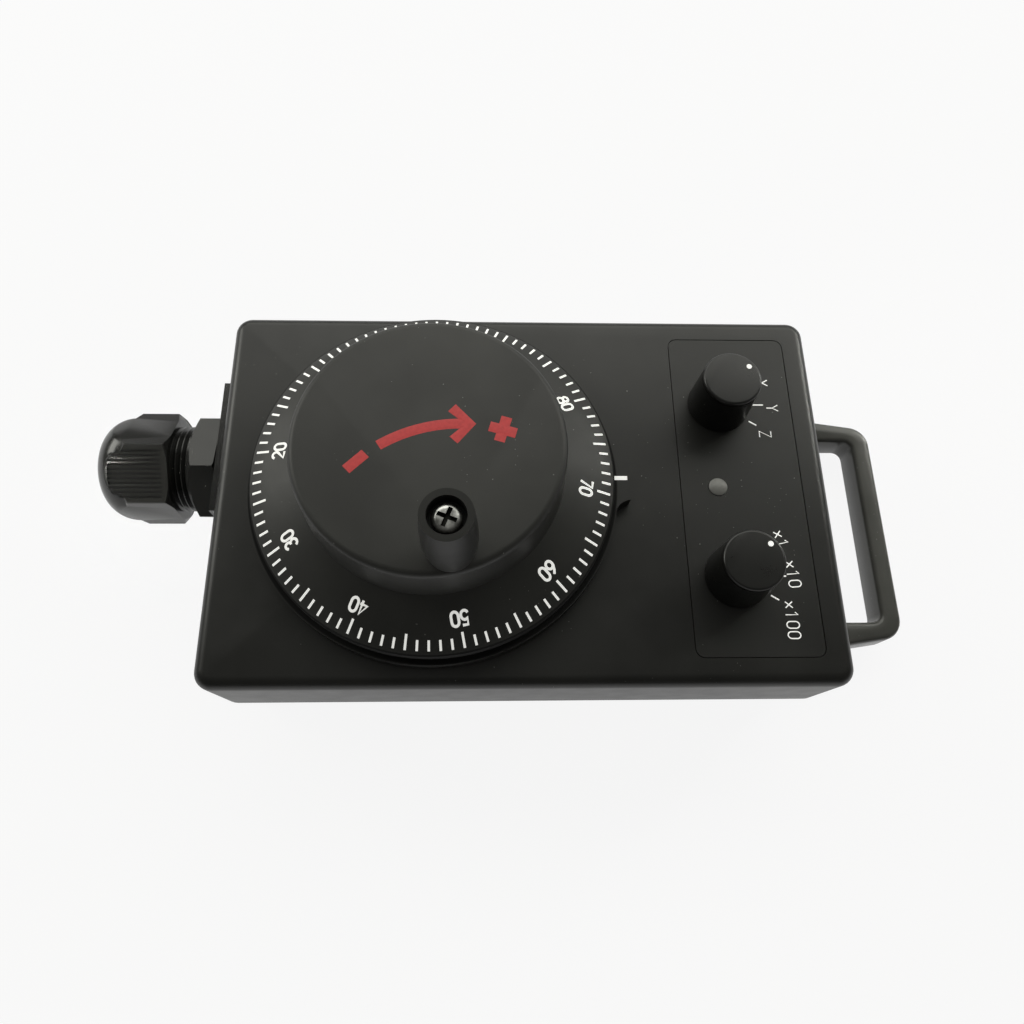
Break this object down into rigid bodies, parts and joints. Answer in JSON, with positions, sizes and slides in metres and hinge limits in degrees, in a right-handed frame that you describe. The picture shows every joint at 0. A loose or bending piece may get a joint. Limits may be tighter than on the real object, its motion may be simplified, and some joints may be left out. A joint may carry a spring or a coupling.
{
  "type": "pulse generator handwheel",
  "caption": "Hand-held pendant in a moulded case: a handwheel with a spinner knob and a click pulse generator, two selector knobs, a lamp, a cord gland and a hanging handle.",
  "frame": {"origin": "centre of the case's flat back face, on the surface that the pendant lies on", "axes": "+X towards the hanging handle, +Y across the case, +Z out of the dial"},
  "size_m": [0.1995, 0.09, 0.083],
  "materials": {
    "shell": "black moulded ABS, smooth satin",
    "dial": "black moulded wheel, satin",
    "legend": "black overlay, satin",
    "knob": "black moulded knob, satin",
    "nylon": "black nylon, half gloss",
    "rubber": "black rubber, matt",
    "switch_case": "black moulded switch case, matt",
    "steel": "plated steel, satin",
    "bright_steel": "nickel-plated steel, bright",
    "brass": "turned brass",
    "board": "green circuit board, half gloss",
    "terminal": "green moulded terminal block, matt",
    "lamp": "grey cast resin, unlit"
  },
  "bodies": {
    "case": {"front_cover": "shell", "rear_cover": "shell", "case_screws": "steel", "legend_plate": "legend", "lamp_lens": "lamp", "lamp_leads": "steel", "generator_base": "shell", "generator_screws": "steel", "front_bearing": "steel", "rear_bearing": "steel", "click_spring": "steel", "click_spring_screw": "steel", "encoder_board": "board", "light_sensor": "switch_case", "encoder_socket": "terminal", "encoder_cover": "shell", "cover_screws": "steel", "axis_switch": "switch_case", "axis_switch_nut": "steel", "multiplier_switch": "switch_case", "multiplier_switch_nut": "steel", "switch_board": "board", "terminal_block": "terminal", "terminal_screws": "steel", "gland_plate": "nylon", "gland_washer": "rubber", "gland_body": "nylon", "gland_locknut": "nylon", "gland_seal": "rubber", "gland_nut": "nylon", "handle": "shell", "handle_screws": "steel"},
    "dial": {"dial_wheel": "dial", "dial_shaft": "steel", "shaft_circlip": "steel", "click_wheel": "brass", "disc_hub": "brass", "slotted_disc": "steel", "dial_set_screw": "steel", "spinner_insert": "brass", "spinner_washer": "steel", "spinner_sleeve": "steel", "spinner_screw": "bright_steel"},
    "spinner": {"spinner_knob": "knob"},
    "axis_selector": {"axis_knob": "knob", "axis_shaft": "steel", "axis_knob_screw": "steel"},
    "multiplier_selector": {"multiplier_knob": "knob", "multiplier_shaft": "steel", "multiplier_knob_screw": "steel"}
  },
  "joints": [
    {"name": "dial_turn", "type": "hinge", "parent": "case", "child": "dial", "pos_m": [-0.0205, 0, 0.0425], "axis": [0, 0, 1], "continuous": true},
    {"name": "spinner_turn", "type": "hinge", "parent": "dial", "child": "spinner", "pos_m": [-0.01561, -0.02299, 0.073], "axis": [0, 0, 1], "continuous": true},
    {"name": "axis_select", "type": "hinge", "parent": "case", "child": "axis_selector", "pos_m": [0.0463, 0.0212, 0.045], "axis": [0, 0, 1], "range_deg": [-60, 0]},
    {"name": "multiplier_select", "type": "hinge", "parent": "case", "child": "multiplier_selector", "pos_m": [0.0463, -0.0212, 0.045], "axis": [0, 0, 1], "range_deg": [-60, 0]}
  ]
}
